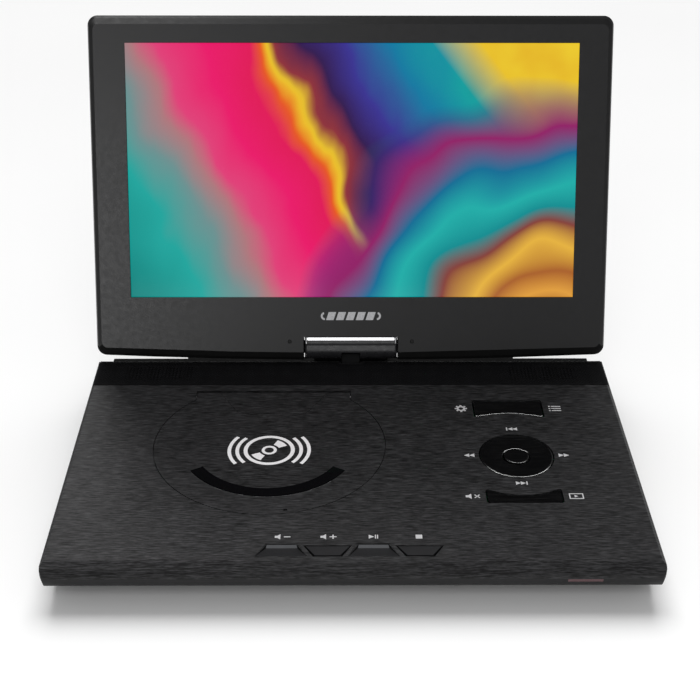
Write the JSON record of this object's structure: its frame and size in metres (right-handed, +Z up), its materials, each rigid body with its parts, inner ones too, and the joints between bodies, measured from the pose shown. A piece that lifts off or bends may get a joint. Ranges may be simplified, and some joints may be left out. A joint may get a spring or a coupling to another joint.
{
  "type": "portable dvd player",
  "caption": "Portable disc player with a swivelling widescreen lid on a centre hinge, a round lift-up disc door and a direction pad on the deck.",
  "frame": {"origin": "on the table, midway along the player in width and in depth as it stands open", "axes": "+X to the user's right, +Y to the rear, +Z up"},
  "size_m": [0.3404, 0.3047, 0.2411],
  "materials": {
    "case_plastic": "moulded, fine spark texture",
    "deck_brushed": "horizontal brushed grain under satin lacquer",
    "grille_plastic": "fine perforated mesh",
    "rubber": "matt",
    "screw_steel": "blackened zinc",
    "infrared_plastic": "dark red translucent",
    "battery_wrap": "shrink film",
    "circuit_board": "solder mask",
    "component_black": "moulded epoxy",
    "switch_plastic": "satin",
    "tray_plastic": "satin",
    "sheet_steel": "zinc plated",
    "motor_steel": "drawn can",
    "turntable_plastic": "satin",
    "sled_plastic": "glass filled",
    "lens_glass": "coated lens",
    "rod_steel": "ground",
    "brass": "turned",
    "speaker_black": "paper cone in a moulded frame",
    "jack_black": "satin",
    "jack_yellow": "satin",
    "port_nickel": "nickel plated",
    "knob_grey": "satin",
    "smoke_window": "smoked gloss",
    "catch_plastic": "natural acetal",
    "gloss_black": "piano gloss",
    "key_plastic": "satin",
    "cast_zinc": "black powder coat",
    "hinge_plastic": "satin gloss",
    "chrome": "polished",
    "spring_steel": "tempered",
    "bezel_plastic": "smooth satin",
    "lid_back_plastic": "satin",
    "screen_glass": "coated, lit from behind",
    "backlight": "white diffuser in a frame"
  },
  "bodies": {
    "base": {"bottom_case": "case_plastic", "deck_cover": "deck_brushed", "speaker_grille": "grille_plastic", "rubber_feet": "rubber", "case_screws": "screw_steel", "infrared_window": "infrared_plastic", "battery_pack": "battery_wrap", "main_board": "circuit_board", "board_chips": "component_black", "side_key_board": "circuit_board", "front_key_board": "circuit_board", "tact_switches": "switch_plastic", "disc_tray": "tray_plastic", "drive_chassis": "sheet_steel", "spindle_motor": "motor_steel", "guide_rods": "rod_steel", "sled_motor": "motor_steel", "speaker_left": "speaker_black", "speaker_right": "speaker_black", "headphone_jack": "jack_black", "av_jack": "jack_yellow", "usb_port": "port_nickel", "card_slot": "port_nickel", "dc_inlet": "jack_black", "power_switch_body": "component_black", "hinge_neck": "cast_zinc", "neck_screws": "screw_steel"},
    "door": {"disc_door": "deck_brushed", "door_window": "smoke_window", "door_pins": "rod_steel", "door_hook": "tray_plastic"},
    "catch": {"door_catch": "catch_plastic"},
    "spindle": {"turntable": "turntable_plastic"},
    "sled": {"laser_sled": "sled_plastic", "pickup_lens": "lens_glass"},
    "drive_screw": {"lead_screw": "brass"},
    "pad_pivot": {"direction_pivot": "tray_plastic"},
    "pad": {"direction_pad": "gloss_black"},
    "ok": {"ok_button": "gloss_black"},
    "upper_rocker": {"setup_menu_rocker": "gloss_black"},
    "lower_rocker": {"mute_mode_rocker": "gloss_black"},
    "volume_down": {"key_volume_down": "key_plastic"},
    "volume_up": {"key_volume_up": "key_plastic"},
    "play": {"key_play": "key_plastic"},
    "stop": {"key_stop": "key_plastic"},
    "power_knob": {"power_switch_knob": "knob_grey"},
    "tilt": {"hinge_block": "hinge_plastic", "hinge_frame": "chrome", "tilt_shaft": "rod_steel", "tilt_washers": "spring_steel", "swivel_post": "rod_steel", "swivel_nut": "rod_steel"},
    "screen": {"swivel_plate": "sheet_steel", "lid_bezel": "bezel_plastic", "lid_back": "lid_back_plastic", "lcd_panel": "screen_glass", "backlight_frame": "backlight", "lid_board": "circuit_board", "lid_bumpers": "rubber", "lid_screws": "screw_steel"}
  },
  "joints": [
    {"name": "lid_tilt", "type": "hinge", "parent": "base", "child": "tilt", "pos_m": [0, 0.06949, 0.035], "axis": [-1, 0, 0], "range_deg": [-110.6, 20]},
    {"name": "lid_swivel", "type": "hinge", "parent": "tilt", "child": "screen", "pos_m": [0, 0.06995, 0.03482], "axis": [0, 0.3518, 0.9361], "range_deg": [0, 180]},
    {"name": "door_lift", "type": "hinge", "parent": "base", "child": "door", "pos_m": [-0.0504, 0.02339, 0.025], "axis": [-1, 0, 0], "range_deg": [0, 60]},
    {"name": "catch_slide", "type": "slide", "parent": "base", "child": "catch", "axis": [0, -1, 0], "range_m": [0, 0.002], "stiffness_N_per_m": 300},
    {"name": "disc_spin", "type": "hinge", "parent": "base", "child": "spindle", "pos_m": [-0.0504, -0.03351, 0.02], "axis": [0, 0, 1], "continuous": true},
    {"name": "sled_slide", "type": "slide", "parent": "base", "child": "sled", "axis": [1, 0, 0], "range_m": [-0.018, 0.018]},
    {"name": "screw_spin", "type": "hinge", "parent": "base", "child": "drive_screw", "pos_m": [-0.0064, -0.06151, 0.011], "axis": [1, 0, 0], "range_deg": [-2170, 2170]},
    {"name": "pad_rock_front_back", "type": "hinge", "parent": "base", "child": "pad_pivot", "pos_m": [0.0998, -0.04581, 0.022], "axis": [1, 0, 0], "range_deg": [-2, 2], "stiffness_Nm_per_rad": 0.8},
    {"name": "pad_rock_left_right", "type": "hinge", "parent": "pad_pivot", "child": "pad", "pos_m": [0.0998, -0.04581, 0.022], "axis": [0, 1, 0], "range_deg": [-2, 2], "stiffness_Nm_per_rad": 0.8},
    {"name": "ok_press", "type": "slide", "parent": "base", "child": "ok", "axis": [0, 0, 1], "range_m": [-0.0008, 0], "stiffness_N_per_m": 400},
    {"name": "upper_rocker_rock", "type": "hinge", "parent": "base", "child": "upper_rocker", "pos_m": [0.1, 0.00549, 0.0236], "axis": [0, 1, 0], "range_deg": [-2, 2], "stiffness_Nm_per_rad": 0.8},
    {"name": "lower_rocker_rock", "type": "hinge", "parent": "base", "child": "lower_rocker", "pos_m": [0.1, -0.08701, 0.0236], "axis": [0, 1, 0], "range_deg": [-2, 2], "stiffness_Nm_per_rad": 0.8},
    {"name": "volume_down_press", "type": "slide", "parent": "base", "child": "volume_down", "axis": [0, 0, 1], "range_m": [-0.0008, 0], "stiffness_N_per_m": 400},
    {"name": "volume_up_press", "type": "slide", "parent": "base", "child": "volume_up", "axis": [0, 0, 1], "range_m": [-0.0008, 0], "stiffness_N_per_m": 400},
    {"name": "play_press", "type": "slide", "parent": "base", "child": "play", "axis": [0, 0, 1], "range_m": [-0.0008, 0], "stiffness_N_per_m": 400},
    {"name": "stop_press", "type": "slide", "parent": "base", "child": "stop", "axis": [0, 0, 1], "range_m": [-0.0008, 0], "stiffness_N_per_m": 400},
    {"name": "power_slide", "type": "slide", "parent": "base", "child": "power_knob", "axis": [0, 1, 0], "range_m": [0, 0.004]}
  ],
  "couplings": [
    {"joint": "screw_spin", "follows": "sled_slide", "rad_per_m": 2094.4}
  ]
}
